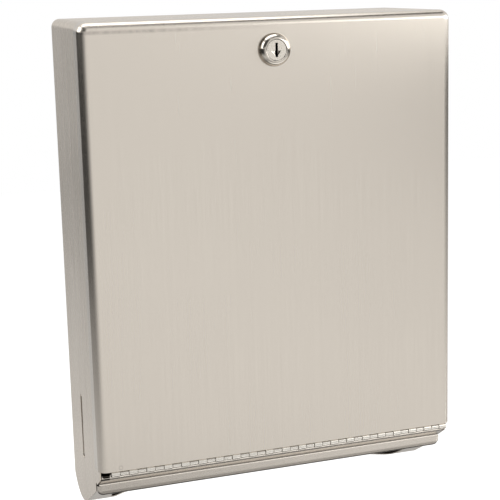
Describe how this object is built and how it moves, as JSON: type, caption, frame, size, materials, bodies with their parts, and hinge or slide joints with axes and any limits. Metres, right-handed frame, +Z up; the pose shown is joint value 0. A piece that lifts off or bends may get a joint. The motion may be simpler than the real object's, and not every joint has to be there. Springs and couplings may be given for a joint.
{
  "type": "paper towel dispenser",
  "caption": "Wall-mounted folded towel dispenser in satin stainless sheet, with a pan-shaped door on a continuous bottom hinge, a cam lock and a towel outlet along the bottom.",
  "frame": {"origin": "on the wall face of the back panel, in the middle of the four screw holes", "axes": "+X to the right seen from the front, +Y into the wall, +Z up"},
  "size_m": [0.273, 0.1056, 0.358],
  "materials": {
    "satin_steel": "satin, brushed upright",
    "hinge_steel": "bright rolled",
    "lock_chrome": "polished plating",
    "lock_nickel": "dull plating",
    "plated_steel": "zinc plating",
    "wafer_brass": "stamped"
  },
  "bodies": {
    "cabinet": {"cabinet_wrap": "satin_steel", "back_panel": "satin_steel", "front_rail": "satin_steel", "lock_strike": "satin_steel", "hinge_leaf_cabinet": "hinge_steel", "hinge_pin": "hinge_steel"},
    "door": {"door_pan": "satin_steel", "hinge_leaf_door": "hinge_steel", "lock_case": "lock_chrome", "lock_washer": "plated_steel", "lock_nut": "plated_steel"},
    "plug": {"lock_plug": "lock_nickel", "wafer_1": "wafer_brass", "wafer_2": "wafer_brass", "wafer_3": "wafer_brass", "wafer_4": "wafer_brass", "wafer_5": "wafer_brass", "wafer_spring_1": "plated_steel", "wafer_spring_2": "plated_steel", "wafer_spring_3": "plated_steel", "wafer_spring_4": "plated_steel", "wafer_spring_5": "plated_steel", "stop_washer": "plated_steel", "lock_cam": "plated_steel", "cam_washer": "plated_steel", "cam_nut": "plated_steel"}
  },
  "joints": [
    {"name": "door_hinge", "type": "hinge", "parent": "cabinet", "child": "door", "pos_m": [0, -0.0975, -0.1632], "axis": [1, 0, 0], "range_deg": [0, 180]},
    {"name": "lock_turn", "type": "hinge", "parent": "door", "child": "plug", "pos_m": [0, -0.1, 0.1278], "axis": [0, 1, 0], "range_deg": [0, 90]}
  ]
}
